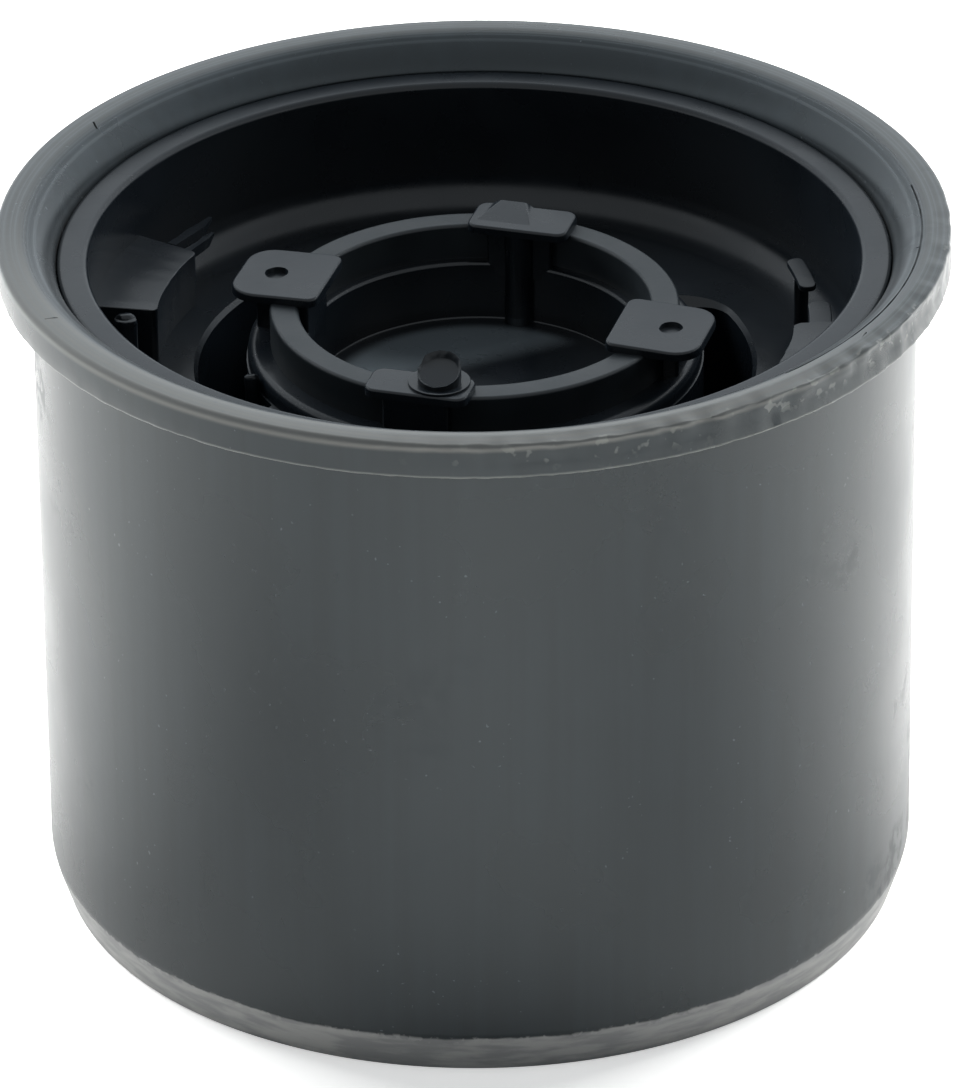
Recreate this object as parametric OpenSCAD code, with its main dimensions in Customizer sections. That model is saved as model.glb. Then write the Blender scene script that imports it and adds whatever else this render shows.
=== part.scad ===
// Flanged control arm bushing: an outer and an inner steel sleeve joined by one rubber moulding.
// The axis is Z. The lead-in end stands on Z = 0 and the flange is at the top.
// The voids and the bump stops lie along X, and the solid rubber arms lie along Y.

/* [Outer sleeve] */
// Outside diameter, a press fit in the control arm's eye
sleeve_od = 70; // [66:0.5:84]
// Wall of the sleeve
sleeve_wall = 2; // [1.6:0.1:3]
// Height from the lead-in end to the flange's face
sleeve_h = 57.5; // [52:0.5:75]
// How far the flange stands out from the sleeve
flange_reach = 2.75; // [1.5:0.05:6]
// Thickness of the flange
flange_t = 3; // [2.2:0.1:4]
// Rounding of the flange's upper edge
flange_edge_r = 1.1; // [0.2:0.1:1.2]
// Fillet under the flange
flange_root_r = 0.6; // [0.2:0.1:1]
// Radius of the flare from the bore into the flange's face
mouth_r = 3.4; // [1:0.1:3.5]
// Radial depth of the lead-in taper
lead_in = 1.1; // [0.4:0.1:1.3]
// Length of the lead-in taper
lead_in_h = 3.4; // [1.5:0.1:6]

/* [Inner sleeve] */
// Diameter of the bore, a press fit on a spigot that enters from below
spigot_d = 26; // [23:0.5:28]
// Wall along the bore
hub_wall = 3.25; // [2.8:0.05:4.5]
// Wall above the bore, around the rubber lining and the closing floor
hub_rim_wall = 2.3; // [1.6:0.1:2.6]
// Depth of its upper end below the flange's face
hub_drop = 7.2; // [5.5:0.1:9]
// Height of its lower end above the lead-in end
hub_rise = 4; // [2:0.5:6]
// Length left bare of rubber at each end
hub_bare = 3; // [1.5:0.1:4]
// Chamfer on its edges
hub_edge = 0.3; // [0.1:0.05:0.6]

/* [Rubber] */
// Thickness of the liner inside the outer sleeve
liner_t = 2.5; // [1.8:0.1:3.5]
// Depth of the liner's upper ledge below the flange's face
liner_drop = 2.5; // [2.2:0.1:4]
// Height of the liner's lower edge above the lead-in end
liner_rise = 3; // [1:0.5:6]
// Rounding of the liner's upper ledge
liner_edge_r = 0.5; // [0.2:0.1:1]
// Thickness of the skin around the inner sleeve
skin_t = 1.8; // [1.2:0.1:2.6]
// Rounding of the skin's upper shoulder
shoulder_r = 1.2; // [0.4:0.1:1.2]
// Thickness of the lining inside the inner sleeve
lining_t = 0.8; // [0.4:0.1:1.2]
// Depth of the closing floor below the inner sleeve's upper end
floor_depth = 8; // [5:0.1:12]
// Thickness of the closing floor
floor_t = 2.5; // [1.5:0.1:5]
// Depth of the web's upper face below the flange's face, at the liner
web_drop = 13.9; // [12:0.1:16]
// How much higher the web's upper face stands at the inner sleeve
web_crown = 2.6; // [1:0.1:3]
// Height of the web's lower face above the lead-in end, at the liner
web_rise = 11; // [9.5:0.5:16]
// How much lower the web's lower face hangs at the inner sleeve
web_sag = 2; // [0.5:0.1:2]
// Fillet between the web and the liner
web_fillet_r = 3; // [1:0.1:3]

/* [Voids and bump stops] */
// Width of the two kidney voids beside the inner sleeve
void_w = 4; // [2.5:0.1:4.5]
// Angle between the centres of a void's round ends
void_span = 76; // [50:1:100]
// Chamfer around the voids' upper lips
void_lip = 1; // [0.4:0.1:1.2]
// Angle that a bump stop takes up around the axis
stop_span = 24.5; // [16:0.5:32]
// How far a bump stop reaches in from the liner
stop_reach = 5.2; // [3.5:0.1:6]
// Depth of a bump stop's top below the flange's face, at the liner
stop_drop = 8; // [7:0.1:10]
// Fall of a bump stop's top toward the middle
stop_fall = 0.4; // [0.1:0.1:1.5]
// Rounding of a bump stop's inner upper edge
stop_edge_r = 0.8; // [0.3:0.1:1.5]

/* [Moulding tabs] */
// Width of the four tabs over the inner sleeve's end
tab_w = 8.3; // [7:0.1:10]
// Thickness of the tabs
tab_t = 0.7; // [0.5:0.1:1.2]
// How far the two side tabs reach inside the inner sleeve's wall
side_tab_in = 2; // [1.3:0.1:3]
// How far the two side tabs reach outside the inner sleeve
side_tab_out = 3.2; // [1.5:0.1:4]
// How far the right tab lies off the X axis, toward the front
tab_shift = 1.3; // [0:0.1:1.4]
// How far the front tab reaches inside the inner sleeve's wall
front_tab_in = 1; // [0.8:0.1:3]
// How far the back tab reaches inside the inner sleeve's wall
back_tab_in = 1.7; // [0.8:0.1:3]
// How far the front and back tabs reach outside the inner sleeve
end_tab_out = 1.4; // [1.2:0.1:2.5]
// Corner radius of the tabs
tab_corner_r = 1.6; // [0.4:0.1:2]
// Width of the strips that tie each tab to the skin and the lining
strip_w = 5.3; // [3.5:0.1:6.5]
// How far the outer strips stand out from the inner sleeve
strip_out = 1.1; // [0.8:0.1:1.2]
// Diameter of the gate stub on the front tab
gate_d = 3.4; // [2:0.1:4]
// Height of the gate stub on the front tab
gate_h = 1.9; // [1:0.1:4]
// Offset of the front stub along its tab
gate_shift = 1.4; // [0:0.1:2]
// Diameter of the low stub on the back tab
stump_d = 5; // [2.5:0.1:5.2]
// Height of the low stub on the back tab
stump_h = 0.6; // [0.3:0.1:2]
// Offset of the low stub along its tab
stump_shift = 1.2; // [0:0.1:1.5]
// Diameter of the torn gate pits in the side tabs
pit_d = 2.4; // [1.5:0.1:3]
// How far the pits lie outside the middle of the inner sleeve's wall
pit_out = 1.3; // [0:0.1:1.6]
// Depth of the torn gate pits
pit_depth = 0.4; // [0.2:0.05:0.45]
// Diameter of the runner down the bore under the back tab
runner_d = 3; // [2:0.1:4]

/* [Hidden] */
$fn = 96;

// Small overlap that makes cuts run clear of a face
cut = 1;

sleeve_or = sleeve_od / 2;
sleeve_ir = sleeve_or - sleeve_wall;
flange_or = sleeve_or + flange_reach;
flange_z = sleeve_h - flange_t;
flare_r = min(mouth_r, flange_reach + sleeve_wall - flange_edge_r - 0.1);

spigot_r = spigot_d / 2;
hub_or = spigot_r + hub_wall;
hub_ir = hub_or - hub_rim_wall;
hub_top = sleeve_h - hub_drop;
hub_mid_r = (hub_or + hub_ir) / 2;

liner_ir = sleeve_ir - liner_t;
liner_top = sleeve_h - liner_drop;
skin_or = hub_or + skin_t;
skin_top = hub_top - hub_bare;
skin_bottom = hub_rise + hub_bare;
lining_ir = hub_ir - lining_t;
floor_top = hub_top - floor_depth;
floor_bottom = floor_top - floor_t;

web_edge_top = sleeve_h - web_drop;
web_hub_top = web_edge_top + web_crown;
web_edge_bottom = web_rise;
web_hub_bottom = web_rise - web_sag;

// The voids are cut from half way into the skin, which is then laid over them
void_ir = hub_or + skin_t / 2;
void_or = skin_or + void_w;
void_mid_r = (void_ir + void_or) / 2;
void_end_r = (void_or - void_ir) / 2;
web_slope = web_crown / (liner_ir - hub_or);
void_lip_z = web_edge_top + web_slope * (liner_ir - void_or);

stop_top = sleeve_h - stop_drop;
stop_face = liner_ir - stop_reach;
tab_top = hub_top + tab_t;

// What a square corner at the origin loses when it is rounded; the solid lies toward +X and +Y
module corner_loss(r) {
  difference() {
    translate([-cut, -cut]) square(r + cut);
    translate([r, r]) circle(r);
  }
}

// What the corner between a sloping web and the upright liner gains as a fillet
module web_fillet(slope) {
  run = sqrt(1 + slope * slope);
  centre = [-web_fillet_r, web_fillet_r * (slope + run)];
  difference() {
    polygon([[0, 0], [0, centre.y], centre, centre - web_fillet_r / run * [slope, 1]]);
    translate(centre) circle(web_fillet_r);
  }
}

// Half section of the outer sleeve
module outer_section() {
  difference() {
    union() {
      translate([sleeve_ir, 0]) square([sleeve_wall, sleeve_h]);
      translate([sleeve_or - sleeve_wall / 2, flange_z]) square([flange_reach + sleeve_wall / 2, flange_t]);
      translate([sleeve_or - sleeve_wall / 2, flange_z - flange_root_r])
        square([flange_root_r + sleeve_wall / 2, flange_root_r]);
    }
    translate([sleeve_or + flange_root_r, flange_z - flange_root_r]) circle(flange_root_r);
    translate([flange_or, sleeve_h]) rotate(180) corner_loss(flange_edge_r);
    translate([sleeve_ir, sleeve_h]) rotate(-90) corner_loss(flare_r);
    polygon([[sleeve_or - lead_in, 0], [sleeve_or, lead_in_h], [sleeve_or + cut, lead_in_h],
             [sleeve_or + cut, -cut], [sleeve_or - lead_in, -cut]]);
  }
}

module outer_sleeve() {
  color([0.16, 0.17, 0.18]) rotate_extrude() outer_section();
}

module inner_sleeve() {
  color([0.3, 0.32, 0.33]) rotate_extrude()
    polygon([[spigot_r + hub_edge, hub_rise], [hub_or - hub_edge, hub_rise], [hub_or, hub_rise + hub_edge],
             [hub_or, hub_top - hub_edge], [hub_or - hub_edge, hub_top], [hub_ir + hub_edge, hub_top],
             [hub_ir, hub_top - hub_edge], [hub_ir, floor_bottom], [spigot_r, floor_bottom],
             [spigot_r, hub_rise + hub_edge]]);
}

// Half section of the liner and the web
module web_section() {
  difference() {
    translate([liner_ir, liner_rise]) square([liner_t, liner_top - liner_rise]);
    translate([liner_ir, liner_top]) rotate(-90) corner_loss(liner_edge_r);
  }
  polygon([[hub_or, web_hub_bottom], [liner_ir, web_edge_bottom], [sleeve_ir, web_edge_bottom],
           [sleeve_ir, web_edge_top], [liner_ir, web_edge_top], [hub_or, web_hub_top]]);
  translate([liner_ir, web_edge_top]) web_fillet(web_slope);
  translate([liner_ir, web_edge_bottom]) mirror([0, 1]) web_fillet(web_sag / (liner_ir - hub_or));
}

// Half section of the skin, the lining and the closing floor
module core_section() {
  difference() {
    translate([hub_or, skin_bottom]) square([skin_t, skin_top - skin_bottom]);
    translate([skin_or, skin_top]) rotate(180) corner_loss(shoulder_r);
  }
  translate([lining_ir, floor_bottom]) square([lining_t, skin_top - floor_bottom]);
  translate([0, floor_bottom]) square([hub_ir, floor_t]);
}

// One kidney void through the web, on the +X side
module kidney_void() {
  void_z = web_hub_bottom - cut;
  void_h = web_hub_top + cut - void_z;
  lip_z = void_lip_z - void_lip;
  rotate(-void_span / 2) rotate_extrude(angle = void_span)
    polygon([[void_ir, void_z], [void_or, void_z], [void_or, lip_z], [void_or + 2 * void_lip, lip_z + 2 * void_lip],
             [void_or + 2 * void_lip, void_z + void_h], [void_ir, void_z + void_h]]);
  for (side = [-1, 1])
    rotate(side * void_span / 2) translate([void_mid_r, 0, 0]) {
      translate([0, 0, void_z]) cylinder(r = void_end_r, h = void_h);
      translate([0, 0, lip_z]) cylinder(r1 = void_end_r, r2 = void_end_r + 2 * void_lip, h = 2 * void_lip);
    }
}

// One bump stop on the liner, on the +X side, rooted half way into the liner
module bump_stop() {
  root_z = (web_edge_top + web_edge_bottom) / 2;
  root_r = liner_ir + liner_t / 2;
  rotate(-stop_span / 2) rotate_extrude(angle = stop_span)
    difference() {
      polygon([[stop_face, root_z], [stop_face, stop_top - stop_fall], [liner_ir, stop_top],
               [root_r, stop_top], [root_r, root_z]]);
      translate([stop_face, stop_top - stop_fall]) rotate(-90) corner_loss(stop_edge_r);
    }
}

// One tab over the inner sleeve's end, on the +X side, with the strips that tie it to the rubber
module tab(reach_in, reach_out, off = 0) {
  tab_ir = hub_ir - reach_in;
  tab_len = hub_rim_wall + reach_in + reach_out;
  translate([tab_ir, -tab_w / 2 - off, hub_top]) {
    translate([0, tab_corner_r, 0]) cube([tab_len, tab_w - 2 * tab_corner_r, tab_t]);
    translate([tab_corner_r, 0, 0]) cube([tab_len - 2 * tab_corner_r, tab_w, tab_t]);
    for (x = [tab_corner_r, tab_len - tab_corner_r], y = [tab_corner_r, tab_w - tab_corner_r])
      translate([x, y, 0]) cylinder(r = tab_corner_r, h = tab_t);
  }
  strip_z = skin_top - shoulder_r;
  intersection() {
    translate([0, -strip_w / 2, strip_z]) cube([sleeve_or, strip_w, hub_top - strip_z]);
    difference() {
      cylinder(r = hub_or + strip_out, h = sleeve_h);
      cylinder(r = lining_ir, h = sleeve_h);
    }
  }
}

// The stubs that the torn gates left on the front and back tabs, and the runner down the bore
module gate_stubs() {
  translate([gate_shift, -hub_mid_r, hub_top]) cylinder(d = gate_d, h = tab_t + gate_h);
  translate([-stump_shift, hub_mid_r, hub_top]) cylinder(d = stump_d, h = tab_t + stump_h);
  intersection() {
    translate([0, lining_ir, floor_bottom]) cylinder(d = runner_d, h = hub_top - floor_bottom);
    cylinder(r = hub_ir, h = hub_top);
  }
}

module rubber_body() {
  color([0.08, 0.09, 0.1]) difference() {
    union() {
      difference() {
        union() {
          rotate_extrude() web_section();
          for (side = [0, 180]) rotate(side) bump_stop();
        }
        for (side = [0, 180]) rotate(side) kidney_void();
      }
      rotate_extrude() core_section();
      tab(side_tab_in, side_tab_out, tab_shift);
      rotate(180) tab(side_tab_in, side_tab_out);
      rotate(90) tab(back_tab_in, end_tab_out);
      rotate(270) tab(front_tab_in, end_tab_out);
      gate_stubs();
    }
    for (place = [[hub_mid_r + pit_out, -tab_shift], [-hub_mid_r - pit_out, 0]])
      translate([place.x, place.y, tab_top - pit_depth]) cylinder(d = pit_d, h = pit_depth + cut);
    inner_sleeve();
  }
}

outer_sleeve();
inner_sleeve();
rubber_body();
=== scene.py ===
import bpy
import bmesh
from math import atan2, cos, degrees, hypot, pi, radians, sin
from mathutils import Matrix, Vector


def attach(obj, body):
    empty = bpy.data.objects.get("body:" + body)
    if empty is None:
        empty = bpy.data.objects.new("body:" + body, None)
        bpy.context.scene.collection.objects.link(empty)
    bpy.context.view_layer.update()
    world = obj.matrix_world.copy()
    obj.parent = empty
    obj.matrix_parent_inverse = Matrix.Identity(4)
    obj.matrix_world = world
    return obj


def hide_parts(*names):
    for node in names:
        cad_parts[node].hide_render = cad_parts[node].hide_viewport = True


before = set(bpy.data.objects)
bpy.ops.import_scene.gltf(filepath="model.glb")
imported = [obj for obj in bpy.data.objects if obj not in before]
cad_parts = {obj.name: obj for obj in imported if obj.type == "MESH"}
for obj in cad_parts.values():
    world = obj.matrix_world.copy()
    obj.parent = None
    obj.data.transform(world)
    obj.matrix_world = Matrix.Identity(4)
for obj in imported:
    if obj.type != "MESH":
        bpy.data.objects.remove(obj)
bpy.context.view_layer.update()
mm = 0.001
print("frame loaded")


# small tools that every piece uses

def clearSelection():
    if bpy.context.object and bpy.context.object.mode != "OBJECT":
        bpy.ops.object.mode_set(mode="OBJECT")
    bpy.ops.object.select_all(action="DESELECT")


def activate(piece):
    clearSelection()
    piece.select_set(True)
    bpy.context.view_layer.objects.active = piece


# selects what passes the test at its ends and its middle; the test gets radius, angle, x, y and z in mm and degrees
def pick(piece, kind, test):
    bpy.ops.mesh.select_mode(type=kind)
    bpy.ops.mesh.select_all(action="DESELECT")
    mesh = bmesh.from_edit_mesh(piece.data)
    for item in {"VERT": mesh.verts, "EDGE": mesh.edges, "FACE": mesh.faces}[kind]:
        points = [item.co] if kind == "VERT" else [v.co for v in item.verts]
        points = points + [sum(points, Vector()) / len(points)]
        item.select = all(test(hypot(p.x, p.y) / mm, degrees(atan2(p.y, p.x)), p.x / mm, p.y / mm, p.z / mm)
                          for p in points)
    mesh.select_flush_mode()
    bmesh.update_edit_mesh(piece.data)


def near(a, b, slack=0.01):
    return abs(a - b) < slack


# a ring is extruded from corner to corner of a closed half section, as on a lathe
def turn(name, segments, corners):
    clearSelection()
    (r, z) = corners[0]
    bpy.ops.mesh.primitive_circle_add(vertices=segments, radius=r * mm)
    piece = bpy.context.object
    piece.name = piece.data.name = name
    bpy.ops.object.mode_set(mode="EDIT")
    bpy.ops.transform.translate(value=(0, 0, z * mm))
    for nextR, nextZ in corners[1:] + corners[:1]:
        bpy.ops.mesh.extrude_edges_move(TRANSFORM_OT_translate={"value": (0, 0, (nextZ - z) * mm)})
        bpy.ops.transform.resize(value=(nextR / r, nextR / r, 1), center_override=(0, 0, nextZ * mm))
        r, z = nextR, nextZ
    bpy.ops.mesh.select_all(action="SELECT")
    bpy.ops.mesh.remove_doubles(threshold=1e-6)
    bpy.ops.mesh.normals_make_consistent(inside=False)
    return piece


def roundEdges(piece, test, width, segments):  # bevels the edges that pass the test
    pick(piece, "EDGE", test)
    bpy.ops.mesh.bevel(offset=width * mm, segments=segments, affect="EDGES", clamp_overlap=True)


def roundRing(piece, r, z, width, segments):  # bevels one ring edge of a turned piece
    roundEdges(piece, lambda pr, a, x, y, pz: near(pr, r) and near(pz, z), width, segments)


def openNew(name):  # names a new primitive, puts its place into its mesh and opens it in edit mode
    piece = bpy.context.object
    piece.name = piece.data.name = name
    bpy.ops.object.transform_apply(location=True, rotation=True, scale=True)
    bpy.ops.object.mode_set(mode="EDIT")
    return piece


def block(name, low, high):  # a box between two corners, left in edit mode
    clearSelection()
    middle = [(a + b) / 2 * mm for a, b in zip(low, high)]
    size = [(b - a) * mm for a, b in zip(low, high)]
    bpy.ops.mesh.primitive_cube_add(size=1, location=middle, scale=size)
    return openNew(name)


def rod(name, x, y, low, high, radius, vertices):  # an upright cylinder, left in edit mode
    clearSelection()
    bpy.ops.mesh.primitive_cylinder_add(vertices=vertices, radius=radius * mm, depth=(high - low) * mm,
                                        location=(x * mm, y * mm, (low + high) / 2 * mm))
    return openNew(name)


def wedge(name, inner, outer, low, high, span, steps):  # an upright strip spun round the axis, centred on +X
    clearSelection()
    bpy.ops.mesh.primitive_plane_add(size=1, rotation=(pi / 2, 0, 0),
                                     location=((inner + outer) / 2 * mm, 0, (low + high) / 2 * mm))
    piece = bpy.context.object
    piece.name = piece.data.name = name
    piece.scale = ((outer - inner) * mm, (high - low) * mm, 1)
    bpy.ops.object.transform_apply(location=True, rotation=True, scale=True)
    turnAround(piece, span / 2)
    bpy.ops.object.mode_set(mode="EDIT")
    bpy.ops.mesh.select_all(action="SELECT")
    bpy.ops.mesh.spin(steps=steps, angle=radians(span), center=(0, 0, 0), axis=(0, 0, 1))
    bpy.ops.mesh.select_all(action="SELECT")
    bpy.ops.mesh.normals_make_consistent(inside=False)
    return piece


def mark(piece, name, weight):  # names a group of points, each with a weight from its radius, angle and height
    clearSelection()
    group = piece.vertex_groups.new(name=name)
    for v in piece.data.vertices:
        x, y, z = v.co
        group.add([v.index], weight(hypot(x, y) / mm, degrees(atan2(y, x)), z / mm), "REPLACE")
    return name


def useModifier(piece, kind, **settings):
    activate(piece)
    modifier = piece.modifiers.new(kind.title(), kind)
    for key, value in settings.items():
        setattr(modifier, key, value)
    bpy.ops.object.modifier_apply(modifier=modifier.name)


# uneven surface, its grain and depth in mm; a level of 1 only cuts in
def roughen(piece, grain, depth, group="", level=0.5):
    texture = bpy.data.textures.new(piece.name + "Grain", "CLOUDS")
    texture.noise_scale = grain * mm
    texture.noise_depth = 2
    useModifier(piece, "DISPLACE", texture=texture, texture_coords="LOCAL", strength=depth * 2 * mm,
                mid_level=level, vertex_group=group)


def softenEdges(piece, width, segments=3, sharp=40):  # bevels every edge sharper than the angle
    useModifier(piece, "BEVEL", width=width * mm, segments=segments, limit_method="ANGLE",
                angle_limit=radians(sharp))


def turnAround(piece, angle):  # turns a finished piece about the bushing's axis
    activate(piece)
    piece.rotation_euler = (0, 0, radians(angle))
    bpy.ops.object.transform_apply(location=False, rotation=True, scale=False)


def twin(piece, name, angle):  # a copy with its own mesh, turned about the axis
    clearSelection()
    copy = piece.copy()
    copy.data = piece.data.copy()
    copy.name = copy.data.name = name
    bpy.context.collection.objects.link(copy)
    turnAround(copy, angle)
    return copy


def combine(piece, others, operation):  # welds or cuts with other pieces, which are used up
    for other in others:
        useModifier(piece, "BOOLEAN", object=other, operation=operation, solver="EXACT")
        bpy.data.objects.remove(other)


def finishPiece(piece, material, node):
    activate(piece)
    bpy.ops.object.shade_smooth_by_angle(angle=radians(35))
    useModifier(piece, "WEIGHTED_NORMAL", keep_sharp=True, weight=80)  # wide faces stay flat beside their roundings
    piece.data.materials.clear()
    piece.data.materials.append(material)
    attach(piece, "root")
    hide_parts(node)
    print(piece.name, len(piece.data.polygons), "faces")


def hexColour(code):  # sRGB hex to linear
    parts = [int(code[i:i + 2], 16) / 255 for i in (1, 3, 5)]
    return tuple(c / 12.92 if c <= 0.04045 else ((c + 0.055) / 1.055) ** 2.4 for c in parts) + (1.0,)


def addNode(tree, kind, settings, inputs):  # a value that is a socket is linked, any other is set
    node = tree.nodes.new(kind)
    for key, value in settings.items():
        setattr(node, key, value)
    for key, value in inputs.items():
        if isinstance(value, bpy.types.NodeSocket):
            tree.links.new(value, node.inputs[key])
        else:
            node.inputs[key].default_value = value
    return node


def newMaterial(name):
    material = bpy.data.materials.new(name)
    material.use_nodes = True
    material.node_tree.nodes.clear()
    return material, material.node_tree


def direction(azimuth, elevation):  # outward from the bushing, azimuth 0 to the front
    a, e = radians(azimuth), radians(elevation)
    return Vector((sin(a) * cos(e), -cos(a) * cos(e), sin(e)))


# camera at the height and distance from which the bushing was seen, in mm and degrees
viewpoint = dict(target=(0, 0, 28), distance=713.48, azimuth=16, elevation=28.509, roll=0.625,
                 lens=293.53, sensor=36, shiftX=0.00243, shiftY=0.00595)


def placeCamera(plan):
    back = direction(plan["azimuth"], plan["elevation"])
    clearSelection()
    bpy.ops.object.camera_add()
    camera = bpy.context.object
    camera.name = "camera"
    look = (-back).to_track_quat("-Z", "Y").to_matrix().to_4x4() @ Matrix.Rotation(radians(-plan["roll"]), 4, "Z")
    camera.matrix_world = Matrix.Translation((Vector(plan["target"]) + back * plan["distance"]) * mm) @ look
    camera.data.lens = plan["lens"]
    camera.data.sensor_width = plan["sensor"]
    camera.data.shift_x, camera.data.shift_y = plan["shiftX"], plan["shiftY"]
    camera.data.dof.use_dof = False
    bpy.context.scene.camera = camera


placeCamera(viewpoint)
bpy.context.scene.view_settings.view_transform = "Standard"

# two wide soft boxes behind at the sides and a weak one overhead, in metres; azimuth is from the camera's direction
lampAim = (0, 0, 0.03)
lamps = [
    dict(name="softBoxLeft", azimuth=-138, elevation=28, distance=1.0, width=0.8, height=0.6, power=22),
    dict(name="softBoxRight", azimuth=138, elevation=28, distance=1.0, width=0.8, height=0.6, power=24),
    dict(name="overhead", azimuth=0, elevation=80, distance=1.0, width=0.8, height=0.8, power=1),
]


def placeLamp(plan):
    away = direction(plan["azimuth"] + viewpoint["azimuth"], plan["elevation"])
    clearSelection()
    bpy.ops.object.light_add(type="AREA")
    lamp = bpy.context.object
    lamp.name = plan["name"]
    lamp.data.shape = "RECTANGLE"
    lamp.data.size, lamp.data.size_y = plan["width"], plan["height"]
    lamp.data.energy = plan["power"]
    lamp.visible_glossy = False  # what the steel and rubber mirror is the surroundings
    lamp.matrix_world = (Matrix.Translation(Vector(lampAim) + away * plan["distance"])
                         @ (-away).to_track_quat("-Z", "Y").to_matrix().to_4x4())


for plan in lamps:
    placeLamp(plan)

surroundings = dict(colour="#f1f9ff", light=0.2, seen=1.0, ceiling=0.55, ceilingAzimuth=0, ceilingElevation=65,
                    ceilingSpan=(0.25, 0.75))


def whiteSurroundings(plan):  # soft light from all round, white backdrop, darker room above and behind the camera
    world = bpy.data.worlds.new("whiteSurroundings")
    bpy.context.scene.world = world
    world.use_nodes = True
    tree = world.node_tree
    tree.nodes.clear()
    path = addNode(tree, "ShaderNodeLightPath", {}, {})
    direct = addNode(tree, "ShaderNodeMath", {"operation": "MAXIMUM"},
                     {0: path.outputs["Is Camera Ray"], 1: path.outputs["Is Glossy Ray"]})
    shown = addNode(tree, "ShaderNodeMath", {"operation": "MAXIMUM"},
                    {0: direct.outputs[0], 1: path.outputs["Is Transmission Ray"]})
    ceiling = direction(plan["ceilingAzimuth"] + viewpoint["azimuth"], plan["ceilingElevation"])
    toward = addNode(tree, "ShaderNodeTexCoord", {}, {}).outputs["Generated"]
    facing = addNode(tree, "ShaderNodeVectorMath", {"operation": "DOT_PRODUCT"}, {0: toward, 1: ceiling})
    low, high = plan["ceilingSpan"]
    seen = addNode(tree, "ShaderNodeMapRange", {"interpolation_type": "SMOOTHSTEP"},
                   {"Value": facing.outputs["Value"], "From Min": low, "From Max": high,
                    "To Min": plan["seen"], "To Max": plan["ceiling"]})
    strength = addNode(tree, "ShaderNodeMapRange", {},
                       {"Value": shown.outputs[0], "To Min": plan["light"], "To Max": seen.outputs[0]})
    plain = addNode(tree, "ShaderNodeMath", {"operation": "MAXIMUM"},
                    {0: path.outputs["Is Camera Ray"], 1: strength.outputs[0]})
    tint = addNode(tree, "ShaderNodeMix", {"data_type": "RGBA"},
                   {"Factor": path.outputs["Is Camera Ray"], 6: hexColour(plan["colour"]), 7: (1, 1, 1, 1)})
    back = addNode(tree, "ShaderNodeBackground", {}, {"Color": tint.outputs[2], "Strength": plain.outputs[0]})
    addNode(tree, "ShaderNodeOutputWorld", {}, {"Surface": back.outputs[0]})


whiteSurroundings(surroundings)

# how far the card glows in view and in gloss
floorPlan = dict(size=12, colour="#f4f4f2", seen=0.5, mirrored=0.0)


def layFloor(plan):  # pale card that stays white in view and keeps the shadow
    clearSelection()
    bpy.ops.mesh.primitive_plane_add(size=plan["size"])
    floor = bpy.context.object
    floor.name = "floor"
    card, tree = newMaterial("mattWhiteCard")
    path = addNode(tree, "ShaderNodeLightPath", {}, {})
    direct = addNode(tree, "ShaderNodeMath", {"operation": "MAXIMUM"},
                     {0: path.outputs["Is Glossy Ray"], 1: path.outputs["Is Transmission Ray"]})
    mirrored = addNode(tree, "ShaderNodeMath", {"operation": "MULTIPLY"},
                       {0: direct.outputs[0], 1: plan["mirrored"]})
    lift = addNode(tree, "ShaderNodeMath", {"operation": "MULTIPLY_ADD"},
                   {0: path.outputs["Is Camera Ray"], 1: plan["seen"], 2: mirrored.outputs[0]})
    matt = addNode(tree, "ShaderNodeBsdfDiffuse", {}, {"Color": hexColour(plan["colour"])})
    glow = addNode(tree, "ShaderNodeEmission", {}, {"Color": (1, 1, 1, 1), "Strength": lift.outputs[0]})
    both = addNode(tree, "ShaderNodeAddShader", {}, {0: matt.outputs[0], 1: glow.outputs[0]})
    addNode(tree, "ShaderNodeOutputMaterial", {}, {"Surface": both.outputs[0]})
    floor.data.materials.append(card)


layFloor(floorPlan)
print("camera, lamps and floor placed")

noiseSpan = (0.3, 0.7)  # nearly all of a noise pattern lies between these

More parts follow.
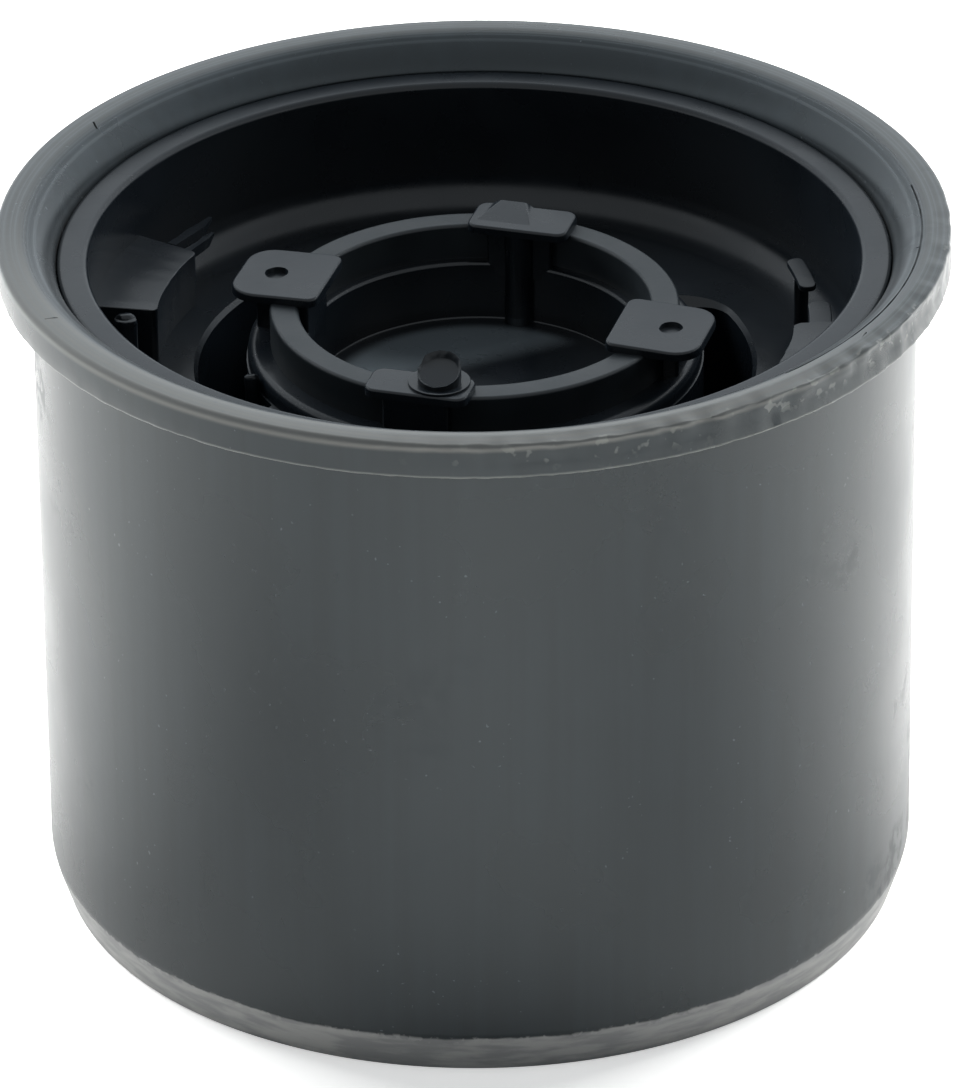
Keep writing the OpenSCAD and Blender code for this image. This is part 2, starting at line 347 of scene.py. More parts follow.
# Cathodic dip paint on drawn steel tube: a satin blue black that goes pale where it is seen at a flat angle,
# with faint streaks and rubbed patches, a scuffed grey lead-in taper and chips where the flange was knocked
paint = dict(
    dark="#12171a", light="#191f23", wearAndFrontHighlight="#8a8985", dust="#596064", chip="#8a8c87", scuffed="#8a8a8a",
    scuffedPale="#a6a5a3", gleam="#f2fbff", roughness=(0.24, 0.32), ior=1.6, sheen=0.05, sheenRoughness=0.4,
    chipAngle=-32, raggedness=0.56, relief=0.12, reliefDepth=0.03,
    stretchAlong=(1, 1, 0.03), stretchAround=(0.4, 0.4, 2),
    # patterns: the coordinates they lie on, size in mm and detail
    patterns=dict(mottle=("place", 14, 4), streak=("along", 1.6, 3), lathe=("rings", 0.3, 2), speck=("place", 0.45, 1),
                  speckPatch=("place", 9, 2), rub=("place", 1.1, 3), rubPatch=("place", 11, 3), tear=("place", 2.2, 3),
                  scuff=("around", 1.6, 4), fleck=("place", 0.7, 2), chipping=("place", 1.1, 2),
                  grit=("place", 0.7, 2)),
    # masks are soft steps multiplied together: a pattern or a measure in mm, from, to, and the values there
    masks=dict(
        tone=[("toning", 0.15, 0.4, 0, 1)],
        # the face mask puts wear colour and metal on the rim's face, stronger toward the front: real wear, with the
        # stronger front a painted highlight
        face=[("radius", 35.1, 35.9, 0, 1), ("height", 56.6, 57, 0, 1), ("across", -30, -5, 0.55, 0.12)],
        turned=[("lathe", 0.45, 0.6, 0, 1), ("height", 56.6, 57.2, 0, 0.3)],
        specks=[("speck", 0.74, 0.78, 0, 1), ("speckPatch", 0.48, 0.6, 0, 0.7)],
        rubbed=[("rubPatch", 0.58, 0.7, 0, 1), ("rub", 0.4, 0.6, 0, 1)],
        taper=[("ragged", 3.56, 3.8, 1, 0)],
        taperCover=[("ragged", 3.56, 3.8, 0.95, 0)],
        taperPatches=[("scuff", 0.35, 0.65, 0, 1)],
        flecks=[("ragged", 3.08, 3.48, 0, 1), ("ragged", 3.68, 3.93, 1, 0), ("fleck", 0.52, 0.62, 0, 0.5)],
        chips=[("chipping", 0.58, 0.66, 0, 1), ("height", 55.3, 56, 0.06, 0.4), ("side", 22, 34, 0, 1),
               ("radius", 36.9, 37.3, 0, 1)],
        lowerEdge=[("radius", 37.2, 37.5, 0, 1), ("height", 54.65, 54.85, 0.6, 0)]),
    # colours over the dark coat, from the bottom up, and how much rougher some places are
    layers=[("tone", "light"), ("face", "wearAndFrontHighlight"), ("turned", "dust"), ("specks", "dust"), ("taperCover", "bare"),
            ("flecks", "scuffedPale"), ("chips", "chip"), ("lowerEdge", "chip")],
    duller=[("rubbed", 0.12), ("taper", 0.22), ("face", 0.2)])


def satinDipPaint(plan):
    material, tree = newMaterial("satinDipPaint")
    objectPlace = addNode(tree, "ShaderNodeTexCoord", {}, {}).outputs["Object"]
    place = addNode(tree, "ShaderNodeVectorMath", {"operation": "SCALE"},
                    {0: objectPlace, "Scale": 1 / mm}).outputs[0]  # in mm from here on
    axes = addNode(tree, "ShaderNodeSeparateXYZ", {}, {0: place})
    flat = addNode(tree, "ShaderNodeVectorMath", {"operation": "MULTIPLY"}, {0: place, 1: (1, 1, 0)})
    radius = addNode(tree, "ShaderNodeVectorMath", {"operation": "LENGTH"}, {0: flat.outputs[0]}).outputs["Value"]
    a = radians(plan["chipAngle"])
    side = addNode(tree, "ShaderNodeVectorMath", {"operation": "DOT_PRODUCT"}, {0: place, 1: (cos(a), sin(a), 0)})
    along = addNode(tree, "ShaderNodeMapping", {}, {"Vector": place, "Scale": plan["stretchAlong"]})
    around = addNode(tree, "ShaderNodeMapping", {}, {"Vector": place, "Scale": plan["stretchAround"]})
    rings = addNode(tree, "ShaderNodeCombineXYZ", {}, {"X": radius})
    bases = dict(place=place, along=along.outputs[0], around=around.outputs[0], rings=rings.outputs[0])
    measures = dict(radius=radius, height=axes.outputs["Z"], across=axes.outputs["Y"], side=side.outputs["Value"])
    for name, (base, size, detail) in plan["patterns"].items():
        pattern = addNode(tree, "ShaderNodeTexNoise", {}, {"Vector": bases[base], "Scale": 1 / size, "Detail": detail})
        measures[name] = pattern.outputs[0]
    toning = addNode(tree, "ShaderNodeMath", {"operation": "MULTIPLY"}, {0: measures["mottle"], 1: measures["streak"]})
    ragged = addNode(tree, "ShaderNodeMath", {"operation": "MULTIPLY_ADD"},
                     {0: measures["tear"], 1: plan["raggedness"], 2: measures["height"]})
    measures.update(toning=toning.outputs[0], ragged=ragged.outputs[0])
    masks = {}
    for name, steps in plan["masks"].items():
        masks[name] = 1.0
        for measure, low, high, start, end in steps:
            step = addNode(tree, "ShaderNodeMapRange", {"interpolation_type": "SMOOTHSTEP"},
                           {"Value": measures[measure], "From Min": low, "From Max": high,
                            "To Min": start, "To Max": end})
            product = addNode(tree, "ShaderNodeMath", {"operation": "MULTIPLY"}, {0: masks[name], 1: step.outputs[0]})
            masks[name] = product.outputs[0]
    names = ("dark", "light", "wearAndFrontHighlight", "dust", "chip", "scuffed", "scuffedPale")
    colours = {name: hexColour(plan[name]) for name in names}
    bare = addNode(tree, "ShaderNodeMix", {"data_type": "RGBA"},
                   {"Factor": masks["taperPatches"], 6: colours["scuffed"], 7: colours["scuffedPale"]})
    colours["bare"] = bare.outputs[2]  # drawn over the die, so its scuffs run round the taper
    coat = colours["dark"]
    for mask, colour in plan["layers"]:
        coat = addNode(tree, "ShaderNodeMix", {"data_type": "RGBA"},
                       {"Factor": masks[mask], 6: coat, 7: colours[colour]}).outputs[2]
    gloss = addNode(tree, "ShaderNodeMapRange", {},
                    {"Value": measures["mottle"], "From Min": noiseSpan[0], "From Max": noiseSpan[1],
                     "To Min": plan["roughness"][0], "To Max": plan["roughness"][1]}).outputs[0]
    for mask, change in plan["duller"]:
        gloss = addNode(tree, "ShaderNodeMath", {"operation": "MULTIPLY_ADD"},
                        {0: masks[mask], 1: change, 2: gloss}).outputs[0]
    relief = addNode(tree, "ShaderNodeBump", {}, {"Height": measures["grit"], "Strength": plan["relief"],
                                                  "Distance": plan["reliefDepth"] * mm})
    # metallic follows the face mask, so the rim face's painted front highlight is also more metallic
    surface = addNode(tree, "ShaderNodeBsdfPrincipled", {},
                      {"Base Color": coat, "Metallic": masks["face"], "Roughness": gloss, "IOR": plan["ior"],
                       "Sheen Weight": plan["sheen"], "Sheen Roughness": plan["sheenRoughness"],
                       "Specular Tint": hexColour(plan["gleam"]), "Normal": relief.outputs[0]})
    addNode(tree, "ShaderNodeOutputMaterial", {}, {"Surface": surface.outputs[0]})
    return material


# Zinc phosphated steel: dull dark grey, fine crystals, no mirror in it
phosphate = dict(dark="#16191c", light="#1f2427", cloud=3.5, grain=0.5, roughness=(0.34, 0.46), ior=1.5,
                 relief=0.2, reliefDepth=0.03)


def phosphatedSteel(plan):
    material, tree = newMaterial("phosphatedSteel")
    place = addNode(tree, "ShaderNodeTexCoord", {}, {}).outputs["Object"]
    cloud = addNode(tree, "ShaderNodeTexNoise", {}, {"Vector": place, "Scale": 1000 / plan["cloud"], "Detail": 4})
    grain = addNode(tree, "ShaderNodeTexNoise", {}, {"Vector": place, "Scale": 1000 / plan["grain"], "Detail": 2})
    colour = addNode(tree, "ShaderNodeMix", {"data_type": "RGBA"},
                     {"Factor": cloud.outputs[0], 6: hexColour(plan["dark"]), 7: hexColour(plan["light"])})
    gloss = addNode(tree, "ShaderNodeMapRange", {},
                    {"Value": cloud.outputs[0], "From Min": noiseSpan[0], "From Max": noiseSpan[1],
                     "To Min": plan["roughness"][0], "To Max": plan["roughness"][1]})
    relief = addNode(tree, "ShaderNodeBump", {}, {"Height": grain.outputs[0], "Strength": plan["relief"],
                                                  "Distance": plan["reliefDepth"] * mm})
    surface = addNode(tree, "ShaderNodeBsdfPrincipled", {},
                      {"Base Color": colour.outputs[2], "Roughness": gloss.outputs[0], "IOR": plan["ior"],
                       "Normal": relief.outputs[0]})
    addNode(tree, "ShaderNodeOutputMaterial", {}, {"Surface": surface.outputs[0]})
    return material


# Carbon black natural rubber, moulded: blue black with a soft sheen and a slightly uneven skin;
# a pale colour on one side of the cup's floor is painted light, standing for the light that falls there while the front
# lies in shade
rubber = dict(dark="#0b0f13", light="#12171c", paintedFloorLight="#5f686e", flow=6, skin=0.8, paintedLightReach=12.4, paintedLightFade=1.5,
              paintedLightLow=42, paintedLightTop=43, paintedLightAngle=131, paintedLightEdge=(3.5, 7), roughness=(0.22, 0.34), ior=1.5,
              relief=0.15, reliefDepth=0.05)


def mouldedRubber(plan):
    material, tree = newMaterial("mouldedRubber")
    place = addNode(tree, "ShaderNodeTexCoord", {}, {}).outputs["Object"]
    flow = addNode(tree, "ShaderNodeTexNoise", {}, {"Vector": place, "Scale": 1000 / plan["flow"], "Detail": 4})
    skin = addNode(tree, "ShaderNodeTexNoise", {}, {"Vector": place, "Scale": 1000 / plan["skin"], "Detail": 3})
    colour = addNode(tree, "ShaderNodeMix", {"data_type": "RGBA"},
                     {"Factor": flow.outputs[0], 6: hexColour(plan["dark"]), 7: hexColour(plan["light"])})
    # the painted light lies on the floor, inside a radius and on one side of a line across it
    axes = addNode(tree, "ShaderNodeSeparateXYZ", {}, {0: place})
    flat = addNode(tree, "ShaderNodeVectorMath", {"operation": "MULTIPLY"}, {0: place, 1: (1, 1, 0)})
    radius = addNode(tree, "ShaderNodeVectorMath", {"operation": "LENGTH"}, {0: flat.outputs[0]})
    reach = addNode(tree, "ShaderNodeMapRange", {"interpolation_type": "SMOOTHSTEP"},
                    {"Value": radius.outputs["Value"], "From Min": plan["paintedLightReach"] * mm,
                     "From Max": (plan["paintedLightReach"] - plan["paintedLightFade"]) * mm})
    under = addNode(tree, "ShaderNodeMath", {"operation": "LESS_THAN"}, {0: axes.outputs["Z"], 1: plan["paintedLightTop"] * mm})
    over = addNode(tree, "ShaderNodeMath", {"operation": "GREATER_THAN"},
                   {0: axes.outputs["Z"], 1: plan["paintedLightLow"] * mm})
    level = addNode(tree, "ShaderNodeMath", {"operation": "MULTIPLY"}, {0: under.outputs[0], 1: over.outputs[0]})
    a = radians(plan["paintedLightAngle"])
    across = addNode(tree, "ShaderNodeVectorMath", {"operation": "DOT_PRODUCT"}, {0: place, 1: (cos(a), sin(a), 0)})
    litSide = addNode(tree, "ShaderNodeMapRange", {"interpolation_type": "SMOOTHSTEP"},
                    {"Value": across.outputs["Value"], "From Min": plan["paintedLightEdge"][0] * mm,
                     "From Max": plan["paintedLightEdge"][1] * mm})
    spread = addNode(tree, "ShaderNodeMath", {"operation": "MULTIPLY"}, {0: reach.outputs[0], 1: litSide.outputs[0]})
    paintedFloorLight = addNode(tree, "ShaderNodeMath", {"operation": "MULTIPLY"}, {0: spread.outputs[0], 1: level.outputs[0]})
    # painted light: the pale colour on the floor's lit side
    colour = addNode(tree, "ShaderNodeMix", {"data_type": "RGBA"},
                     {"Factor": paintedFloorLight.outputs[0], 6: colour.outputs[2], 7: hexColour(plan["paintedFloorLight"])})
    gloss = addNode(tree, "ShaderNodeMapRange", {},
                    {"Value": flow.outputs[0], "From Min": noiseSpan[0], "From Max": noiseSpan[1],
                     "To Min": plan["roughness"][0], "To Max": plan["roughness"][1]})
    relief = addNode(tree, "ShaderNodeBump", {}, {"Height": skin.outputs[0], "Strength": plan["relief"],
                                                  "Distance": plan["reliefDepth"] * mm})
    surface = addNode(tree, "ShaderNodeBsdfPrincipled", {},
                      {"Base Color": colour.outputs[2], "Roughness": gloss.outputs[0], "IOR": plan["ior"],
                       "Normal": relief.outputs[0]})
    addNode(tree, "ShaderNodeOutputMaterial", {}, {"Surface": surface.outputs[0]})
    return material


paintMaterial = satinDipPaint(paint)
steelMaterial = phosphatedSteel(phosphate)
rubberMaterial = mouldedRubber(rubber)
print("materials made")

# outer sleeve: tube with a flange, a flared mouth and a tapered lead-in, knocked about on the flange's right
sleeve = dict(bore=33, body=35, height=57.5, flange=37.75, flangeZ=54.5, tip=33.9, taperZ=3.4, segments=480,
              mouth=3.4, edge=0.45, lip=0.22, root=0.6, taperEdge=0.5, endEdge=0.3, sideRings=(56.8, 56.3, 55.6),
              dentAngle=-32, dentSpan=58, dentBand=0.6, dentGrain=1.8, dentDepth=0.3,
              burrBand=0.5, burrTop=0.3, burrGrain=1.0, burrDepth=0.07)


def outerSleeve(plan):
    bore, body, top = plan["bore"], plan["body"], plan["height"]
    rim, seat, tip, taper = plan["flange"], plan["flangeZ"], plan["tip"], plan["taperZ"]
    piece = turn("outerSleeve", plan["segments"],
                 [(bore, 0), (bore, top), (rim, top)] + [(rim, z) for z in plan["sideRings"]]
                 + [(rim, seat), (body, seat), (body, taper), (tip, 0)])
    roundRing(piece, bore, top, plan["mouth"], 14)
    roundRing(piece, rim, top, plan["edge"], 7)
    roundRing(piece, rim, seat, plan["lip"], 3)
    roundRing(piece, body, seat, plan["root"], 4)
    roundRing(piece, body, taper, plan["taperEdge"], 3)
    roundRing(piece, tip, 0, plan["endEdge"], 3)
    roundRing(piece, bore, 0, plan["endEdge"], 2)
    side, reach, under = plan["dentAngle"], plan["dentSpan"], seat + plan["burrTop"]
    dents = mark(piece, "dents", lambda r, a, z: (r > rim - plan["dentBand"] and z > under)
                 * max(0, 1 - (((a - side + 180) % 360 - 180) / reach) ** 2))  # fades to both sides
    roughen(piece, plan["dentGrain"], plan["dentDepth"], dents, 1)
    burr = mark(piece, "burr", lambda r, a, z: float(r > rim - plan["burrBand"] and z < under))
    roughen(piece, plan["burrGrain"], plan["burrDepth"], burr, 1)
    return piece


# a split that follows the start of the flare, and small nicks in the flange's face
split = dict(radius=35.3, width=0.17, depth=0.45, clear=0.5, span=64, angle=-3, steps=90, runOut=3, rise=0.8,
             grain=2.5, ragged=0.07)
# each nick: radius, angle, length, width and slant
nick = dict(depth=0.7, clear=1, foot=(0.6, 0.2, 1), grain=0.6, ragged=0.1, places=[
    (34.5, 191.7, 1.3, 0.3, 25), (34.6, 200, 1.0, 0.35, -35), (34.4, 204.5, 1.5, 0.4, 15), (34.3, 207.5, 1.1, 0.3, -10),
    (35.6, 164.8, 1.5, 0.45, 50), (35.0, 8.1, 0.9, 0.45, 80), (36.1, -18, 1.2, 0.2, 10), (36.4, 222, 1.6, 0.22, 80)])


def rimSplit(plan, top):
    r, width, depth = plan["radius"], plan["width"], plan["depth"]
    piece = wedge("rimSplit", r - width / 2, r + width / 2, top - depth, top + plan["clear"],
                  plan["span"], plan["steps"])
    pick(piece, "VERT", lambda pr, a, x, y, z: abs(a) > plan["span"] / 2 - plan["runOut"])
    bpy.ops.transform.translate(value=(0, 0, depth * plan["rise"] * mm))  # runs out at its ends
    roughen(piece, plan["grain"], plan["ragged"])
    turnAround(piece, plan["angle"])
    return piece


def rimNick(plan, top, r, angle, length, width, slant):
    piece = block("rimNick", (-length / 2, -width / 2, top - width * plan["depth"]),
                  (length / 2, width / 2, top + plan["clear"]))
    pick(piece, "VERT", lambda pr, a, x, y, z: z < top)
    bpy.ops.transform.resize(value=plan["foot"])
    bpy.ops.mesh.select_all(action="SELECT")
    bpy.ops.mesh.subdivide(number_cuts=3)
    roughen(piece, plan["grain"], plan["ragged"])
    activate(piece)
    piece.rotation_euler = (0, 0, radians(angle + 90 + slant))
    piece.location = (r * mm * cos(radians(angle)), r * mm * sin(radians(angle)), 0)
    bpy.ops.object.transform_apply(location=True, rotation=True, scale=True)
    return piece


tube = outerSleeve(sleeve)
rimCuts = [rimSplit(split, sleeve["height"])]
rimCuts += [rimNick(nick, sleeve["height"], *place) for place in nick["places"]]
combine(tube, rimCuts, "DIFFERENCE")
finishPiece(tube, paintMaterial, "outer_sleeve")

# inner sleeve: thick tube with a stepped bore
hub = dict(spigot=13, rim=13.95, wall=16.25, low=4, step=39.8, top=50.3, edge=0.3, segments=240)


def innerSleeve(plan):
    spigot, rim, wall = plan["spigot"], plan["rim"], plan["wall"]
    low, step, top = plan["low"], plan["step"], plan["top"]
    piece = turn("innerSleeve", plan["segments"],
                 [(spigot, low), (spigot, step), (rim, step), (rim, top), (wall, top), (wall, low)])
    for r, z in [(spigot, low), (rim, top), (wall, top), (wall, low)]:
        roundRing(piece, r, z, plan["edge"], 3)
    return piece


finishPiece(innerSleeve(hub), steelMaterial, "inner_sleeve")

# rubber between the sleeves: skin on the hub, sloping web, liner in the sleeve, two kidney voids with a broken edge
web = dict(hub=16.25, skin=18.05, liner=30.5, sleeve=33, low=3, ledge=55, skinLow=7, skinTop=47.3,
           webTop=(45.87, 43.6), webLow=(9.25, 11), segments=288, fillet=3.4, underFillet=2.2, skinEdge=0.7,
           ledgeEdge=0.5, sleeveEdge=0.45, lowEdge=0.4, voidIn=18.12, voidOut=22.05, voidSpan=76, voidEnd=2.45,
           lip=0.4, lipSink=0.5, lipRise=3.5, coreGap=0.05, coreVertices=96)


def rubberWeb(plan):
    hubR, skin, liner, sleeveR = plan["hub"], plan["skin"], plan["liner"], plan["sleeve"]
    (skinWeb, linerWeb), (skinUnder, linerUnder) = plan["webTop"], plan["webLow"]
    piece = turn("rubberBody", plan["segments"],
                 [(hubR, plan["skinLow"]), (hubR, plan["skinTop"]), (skin, plan["skinTop"]), (skin, skinWeb),
                  (liner, linerWeb), (liner, plan["ledge"]), (sleeveR, plan["ledge"]), (sleeveR, plan["low"]),
                  (liner, plan["low"]), (liner, linerUnder), (skin, skinUnder), (skin, plan["skinLow"])])
    roundRing(piece, skin, plan["skinTop"], plan["skinEdge"], 4)
    roundRing(piece, liner, linerWeb, plan["fillet"], 9)
    roundRing(piece, liner, plan["ledge"], plan["ledgeEdge"], 4)
    roundRing(piece, sleeveR, plan["ledge"], plan["sleeveEdge"], 4)
    roundRing(piece, liner, plan["low"], plan["lowEdge"], 3)
    roundRing(piece, liner, linerUnder, plan["underFillet"], 6)
    return piece


# a curved block with round ends, flared at the top; cutters with unlike steps have no facets in one plane
def kidneyCutter(plan, name, low, high, grow, flare, steps):
    inner, outer, endR = plan["voidIn"] - grow, plan["voidOut"] + grow, plan["voidEnd"] + grow
    middle = plan["voidOut"] - plan["voidEnd"]
    piece = wedge(name, inner, outer, low, high, plan["voidSpan"], steps)
    pick(piece, "VERT", lambda r, a, x, y, z: near(z, high) and near(r, outer, 0.02))
    wider = 1 + flare / outer
    bpy.ops.transform.resize(value=(wider, wider, 1), center_override=(0, 0, high * mm))
    for angle in (plan["voidSpan"] / 2, -plan["voidSpan"] / 2):
        end = rod(name + "End", middle, 0, low, high, endR, steps + 16)
        pick(end, "VERT", lambda r, a, x, y, z: near(z, high))
        wider = 1 + flare / endR
        bpy.ops.transform.resize(value=(wider, wider, 1), center_override=(middle * mm, 0, high * mm))
        turnAround(end, angle)
        combine(piece, [end], "UNION")
    core = rod(name + "Core", 0, 0, low - 1, high + 1, inner + plan["coreGap"], plan["coreVertices"])
    combine(piece, [core], "DIFFERENCE")  # the hub's skin stays
    return piece


def kidneyVoid(plan):  # right through the web, with a chamfer along its upper edge
    skinWeb, linerWeb = plan["webTop"]
    slope = (skinWeb - linerWeb) / (plan["liner"] - plan["skin"])
    brim = linerWeb + slope * (plan["liner"] - plan["voidOut"]) - plan["lip"]
    sink, rise = plan["lipSink"], plan["lipRise"]
    cutter = kidneyCutter(plan, "kidneyCutter", plan["low"], plan["ledge"], 0, 0, 47)
    combine(cutter, [kidneyCutter(plan, "kidneyLip", brim - sink, brim + rise, -sink, sink + rise, 41)], "UNION")
    return cutter


# rubber cup in the hub's bore: a thin lining and the closing floor
cup = dict(wall=13.95, lining=0.8, low=39.8, top=47.3, floor=42.3, topEdge=0.35, floorEdge=0.2, segments=240)


def rubberCup(plan):
    piece = rod("rubberCup", 0, 0, plan["low"], plan["top"], plan["wall"], plan["segments"])
    pick(piece, "FACE", lambda r, a, x, y, z: near(z, plan["top"]))
    bpy.ops.mesh.inset(thickness=plan["lining"] * mm)
    bpy.ops.mesh.extrude_region_move(TRANSFORM_OT_translate={"value": (0, 0, (plan["floor"] - plan["top"]) * mm)})
    lip = plan["wall"] - plan["lining"]
    roundRing(piece, lip, plan["top"], plan["topEdge"], 4)
    roundRing(piece, lip, plan["floor"], plan["floorEdge"], 3)
    return piece


# bump stops: blocks that grow out of the liner, lower toward the middle, with a ragged inner edge
stop = dict(face=25.3, root=31.4, span=24.5, steps=20, low=40, top=49.5, fall=0.4, nose=0.9, edge=0.3,
            raggedIn=0.9, raggedDown=2, grain=1.1, ragged=0.16)


def bumpStop(plan):
    piece = wedge("bumpStop", plan["face"], plan["root"], plan["low"], plan["top"], plan["span"], plan["steps"])
    pick(piece, "VERT", lambda r, a, x, y, z: near(r, plan["face"], 0.05) and near(z, plan["top"]))
    bpy.ops.transform.translate(value=(0, 0, -plan["fall"] * mm))
    roundEdges(piece, lambda r, a, x, y, z: near(abs(a), plan["span"] / 2, 0.05) and near(r, plan["face"], 0.05),
               plan["nose"], 5)
    softenEdges(piece, plan["edge"])
    edge = mark(piece, "inner", lambda r, a, z: float(r < plan["face"] + plan["raggedIn"]
                                                      and z > plan["top"] - plan["raggedDown"]))
    roughen(piece, plan["grain"], plan["ragged"], edge)
    return piece


# slivers of flash that the mould left at the back of the left stop: radius, angle, length, width, height of the tip
sliver = dict(low=48.3, high=49.1, tip=(0.4, 1, 0.35), grain=1.2, ragged=0.12,
              places=[(27.75, 161.5, 5.4, 0.8, 49.4), (26.1, 164, 4.0, 0.55, 49.1)])


def flashSliver(plan, r, angle, length, width, tip):
    piece = block("flashSliver", (r - width / 2, -length / 2, plan["low"]), (r + width / 2, length / 2, plan["high"]))
    bpy.ops.mesh.select_all(action="SELECT")
    bpy.ops.mesh.subdivide(number_cuts=3)
    pick(piece, "VERT", lambda pr, a, x, y, z: y < -length / 2 + 0.1)
    bpy.ops.transform.resize(value=plan["tip"], center_override=(r * mm, 0, tip * mm))
    roughen(piece, plan["grain"], plan["ragged"])
    turnAround(piece, angle)
    return piece


# flat tongues of flash at the back of the right stop, the second on a spue:
# radius, first and last angle, width, height of the top and tilt
tongue = dict(thickness=0.5, corner=0.4, edge=0.12, steps=4,
              places=[(27.4, 10.5, 20.6, 1.8, 49.1, 0), (27.05, 25.6, 35, 1.4, 49.35, 6)])


def flashTongue(plan, r, first, last, width, top, tilt):
    inner, outer = r - width / 2, r + width / 2
    span = last - first
    piece = wedge("flashTongue", inner, outer, -plan["thickness"], 0, span, plan["steps"])
    roundEdges(piece, lambda pr, a, x, y, z: near(abs(a), span / 2, 0.05)
               and (near(pr, inner, 0.02) or near(pr, outer, 0.02)), width * plan["corner"], 5)
    softenEdges(piece, plan["edge"], 2)
    activate(piece)
    piece.rotation_euler = (radians(tilt), 0, 0)
    piece.location = (0, 0, top * mm)
    bpy.ops.object.transform_apply(location=True, rotation=True, scale=False)
    turnAround(piece, (first + last) / 2)
    return piece


# tabs that hold the rubber on the hub's end, each tied down by a strip inside and outside
tab = dict(width=8.3, low=50.28, top=51, edge=0.22, innerCorner=0.9, sagFrom=0.8, inner=13.95, outer=16.25,
           stripWidth=5.3, stripOut=1.1, stripIn=0.95, stripLow=46.2, stripEdges=(0.3, 0.2),
           overlapOut=0.1, overlapIn=0.2, overlapUp=0.12, stripBack=0.05)
tabs = [
    dict(name="tabRight", angle=0, reachIn=2, reachOut=3.2, corner=2.1, sag=0.18, shift=-1.3),
    dict(name="tabLeft", angle=180, reachIn=2, reachOut=3.2, corner=2.3, sag=0.1, shift=0),
    dict(name="tabBack", angle=90, reachIn=2, reachOut=0.2, corner=1, sag=0, shift=0),
    dict(name="tabFront", angle=270, reachIn=0.25, reachOut=1.4, corner=1, sag=0, shift=0),
]


def rubberTab(plan, own):
    half = plan["width"] / 2
    start, end = plan["inner"] - own["reachIn"], plan["outer"] + own["reachOut"]
    piece = block(own["name"], (start, -half, plan["low"]), (end, half, plan["top"]))
    roundEdges(piece, lambda r, a, x, y, z: near(abs(y), half) and near(x, end), own["corner"], 6)
    roundEdges(piece, lambda r, a, x, y, z: near(abs(y), half) and near(x, start), plan["innerCorner"], 4)
    roundEdges(piece, lambda r, a, x, y, z: near(z, plan["top"]), plan["edge"], 3)
    pick(piece, "VERT", lambda r, a, x, y, z: x > plan["outer"] + plan["sagFrom"])
    bpy.ops.transform.translate(value=(0, 0, -own["sag"] * mm))
    bpy.ops.mesh.select_all(action="SELECT")
    bpy.ops.transform.translate(value=(0, own["shift"] * mm, 0))
    half, stripTop = plan["stripWidth"] / 2, plan["low"] + plan["overlapUp"]
    edgeOut, edgeIn = plan["stripEdges"]
    far = plan["outer"] + plan["stripOut"]
    outside = block("stripOutside", (plan["outer"] - plan["overlapOut"], -half, plan["stripLow"]),
                    (far, half, stripTop))
    roundEdges(outside, lambda r, a, x, y, z: near(x, far) and near(abs(y), half), edgeOut, 3)
    back = plan["inner"] - min(plan["stripIn"], own["reachIn"] - plan["stripBack"])
    inside = block("stripInside", (back, -half, plan["stripLow"]), (plan["inner"] + plan["overlapIn"], half, stripTop))
    roundEdges(inside, lambda r, a, x, y, z: near(x, back) and near(abs(y), half), edgeIn, 3)
    combine(piece, [outside, inside], "UNION")
    turnAround(piece, own["angle"])
    return piece


# what the torn gates left: a stub in a low collar, a mound on the back tab, a runner down the bore and two pits
gates = dict(stub=(1.4, -15.1), stubR=1.7, stubLow=50.43, stubTop=52.0, stubClear=2, tilt=19, rim=0.22, dip=0.12,
             crest=0.35, crestFrom=0.9, crestRim=0.1, crown=0.7, crownGrain=0.6, crownRagged=0.12,
             collarR=2.45, collarLow=50.3, collarTop=51.2, collarRim=0.55, collarDip=0.13, collarEdge=0.1,
             mound=((-3.7, 12.9, 50.6), (1.1, 16.35, 51)), moundCrest=(16, 50.9), moundRise=0.42,
             moundTip=(0.45, 1, 1), moundEdge=0.4,
             runner=(0, 13.15), runnerR=1.2, runnerLow=41.6, runnerTop=50.6, runnerGrain=2.5, runnerRagged=0.12,
             pits=[(16.4, -1.3), (-16.4, 0)], pitR=1.15, pitTop=52, pitDepth=0.5, pitFoot=(0.7, 0.85, 1), pitGrain=1.1,
             pitRagged=0.15)


def gateStub(plan):  # torn off at a slant toward the front, with a raised crest behind
    (x, y), top = plan["stub"], plan["stubTop"]
    slant, edgeR = radians(plan["tilt"]), plan["stubR"] - plan["crestRim"]
    piece = rod("gateStub", x, y, plan["stubLow"], top + plan["stubClear"], plan["stubR"], 26)
    bpy.ops.mesh.select_all(action="SELECT")
    bpy.ops.mesh.bisect(plane_co=(x * mm, y * mm, top * mm), plane_no=(0, -sin(slant), cos(slant)),
                        use_fill=True, clear_outer=True)
    pick(piece, "FACE", lambda r, a, px, py, pz: pz > top - plan["crown"])
    bpy.ops.mesh.inset(thickness=plan["rim"] * mm)
    bpy.ops.transform.translate(value=(0, 0, -plan["dip"] * mm))  # the middle tore out deeper than the rim
    pick(piece, "VERT", lambda r, a, px, py, pz: py > y + plan["crestFrom"] and pz > top
         and hypot(px - x, py - y) > edgeR)
    bpy.ops.transform.translate(value=(0, 0, plan["crest"] * mm))
    bpy.ops.mesh.select_all(action="SELECT")
    bpy.ops.mesh.subdivide(number_cuts=2)
    crown = mark(piece, "crown", lambda r, a, z: float(z > top - plan["crown"]))
    roughen(piece, plan["crownGrain"], plan["crownRagged"], crown)
    return piece


def gateCollar(plan):  # raised ring around the stub's foot
    x, y = plan["stub"]
    piece = rod("gateCollar", x, y, plan["collarLow"], plan["collarTop"], plan["collarR"], 40)
    pick(piece, "FACE", lambda r, a, px, py, pz: near(pz, plan["collarTop"]))
    bpy.ops.mesh.inset(thickness=plan["collarRim"] * mm)
    bpy.ops.transform.translate(value=(0, 0, -plan["collarDip"] * mm))
    softenEdges(piece, plan["collarEdge"], 2, 20)
    return piece


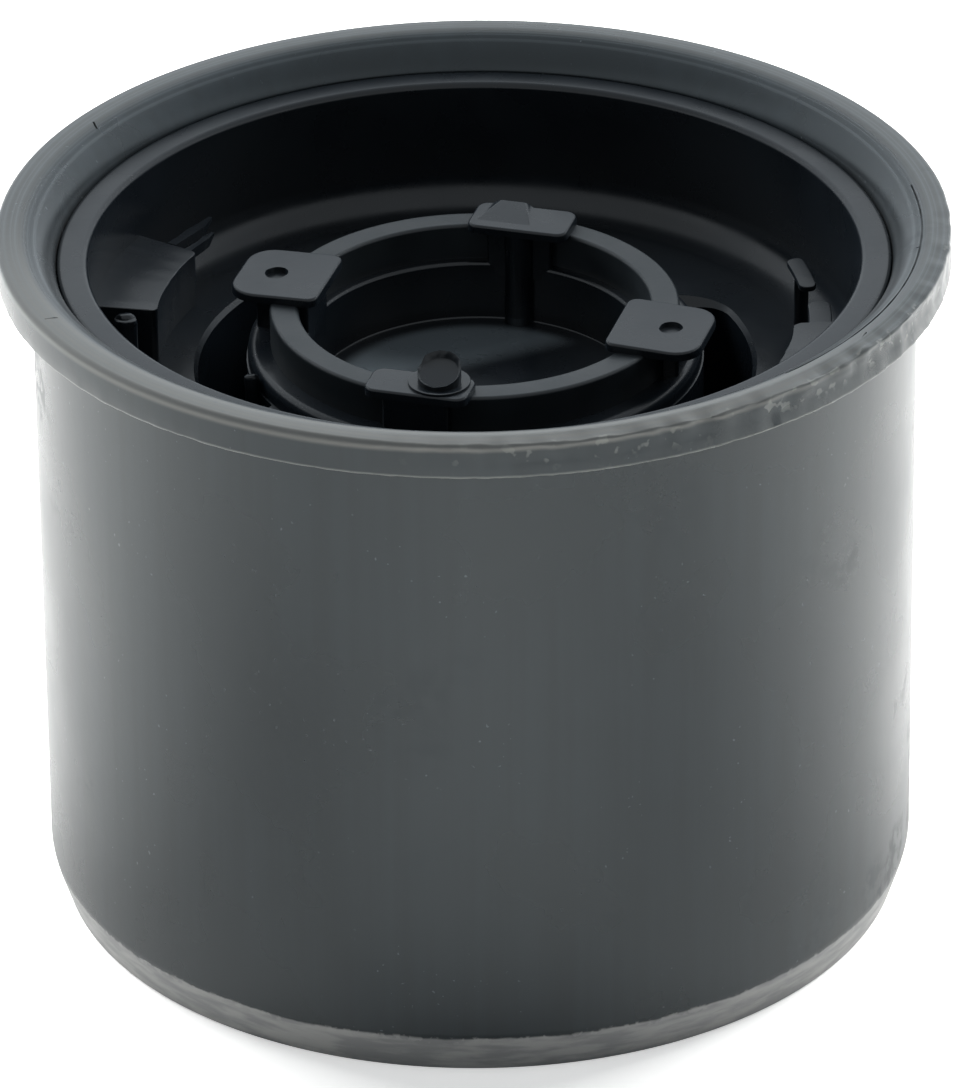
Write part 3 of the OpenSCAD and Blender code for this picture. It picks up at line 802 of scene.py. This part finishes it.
def gateMound(plan):  # the back tab drawn up toward its outer edge
    piece = block("gateMound", *plan["mound"])
    crestY, crestZ = plan["moundCrest"]
    pick(piece, "VERT", lambda r, a, x, y, z: y > crestY and z > crestZ)
    bpy.ops.transform.translate(value=(0, 0, plan["moundRise"] * mm))
    bpy.ops.transform.resize(value=plan["moundTip"])
    softenEdges(piece, plan["moundEdge"], 4, 5)
    return piece


def gateRunner(plan):
    x, y = plan["runner"]
    piece = rod("gateRunner", x, y, plan["runnerLow"], plan["runnerTop"], plan["runnerR"], 32)
    bpy.ops.mesh.select_all(action="SELECT")
    bpy.ops.mesh.subdivide(number_cuts=3)
    roughen(piece, plan["runnerGrain"], plan["runnerRagged"])
    return piece


def gatePit(plan, tabTop, x, y):
    piece = rod("gatePit", x, y, tabTop - plan["pitDepth"], plan["pitTop"], plan["pitR"], 22)
    pick(piece, "VERT", lambda r, a, px, py, pz: pz < tabTop)
    bpy.ops.transform.resize(value=plan["pitFoot"])
    bpy.ops.mesh.select_all(action="SELECT")
    bpy.ops.mesh.subdivide(number_cuts=2)
    roughen(piece, plan["pitGrain"], plan["pitRagged"])
    return piece


# vent spues left standing beside the stops and on the shoulder, flattened and leaning:
# radius, angle, height of the top, width, lean outward and lean onward
spue = dict(low=43, bendFrom=44, bends=(0.35, 0.65, 1), crown=0.32, flat=(1, 0.6, 1), grain=1.2, ragged=0.1,
            places=[(27, 30.5, 49.05, 1.2, 0, 0), (27.6, 199, 49.9, 1.9, 0.1, -1.0), (18.6, 215.6, 47.4, 1.3, 0.2, 0)])


def ventSpue(plan, r, angle, top, width, leanOut, leanOn):
    piece = rod("ventSpue", r, 0, plan["low"], top, width / 2, 16)
    roundEdges(piece, lambda pr, a, x, y, z: near(z, top), width * plan["crown"], 4)
    bpy.ops.mesh.select_all(action="SELECT")
    bpy.ops.transform.resize(value=plan["flat"], center_override=(r * mm, 0, 0))
    bpy.ops.mesh.subdivide(number_cuts=3)
    parts = len(plan["bends"])
    for share in plan["bends"]:  # bends a little more toward its tip
        pick(piece, "VERT", lambda pr, a, x, y, z: z > top - (top - plan["bendFrom"]) * (1.05 - share))
        bpy.ops.transform.translate(value=(leanOut / parts * mm, leanOn / parts * mm, 0))
    roughen(piece, plan["grain"], plan["ragged"])
    turnAround(piece, angle)
    return piece


body = rubberWeb(web)
cutter = kidneyVoid(web)
combine(body, [twin(cutter, "kidneyCutterLeft", 180), cutter], "DIFFERENCE")
print("web cut", len(body.data.polygons))
firstStop = bumpStop(stop)
combine(body, [twin(firstStop, "bumpStopLeft", 180), firstStop, rubberCup(cup)], "UNION")
print("stops and cup joined", len(body.data.polygons))
combine(body, [rubberTab(tab, own) for own in tabs], "UNION")
combine(body, [gateMound(gates), gateRunner(gates)], "UNION")
combine(body, [gatePit(gates, tab["top"], *place) for place in gates["pits"]], "DIFFERENCE")
print("tabs and gates joined", len(body.data.polygons))
flash = [ventSpue(spue, *place) for place in spue["places"]]
flash += [flashSliver(sliver, *place) for place in sliver["places"]]
flash += [flashTongue(tongue, *place) for place in tongue["places"]]
combine(body, flash + [gateCollar(gates), gateStub(gates)], "UNION")  # the stub last, or its thin wall breaks
finishPiece(body, rubberMaterial, "rubber_body")
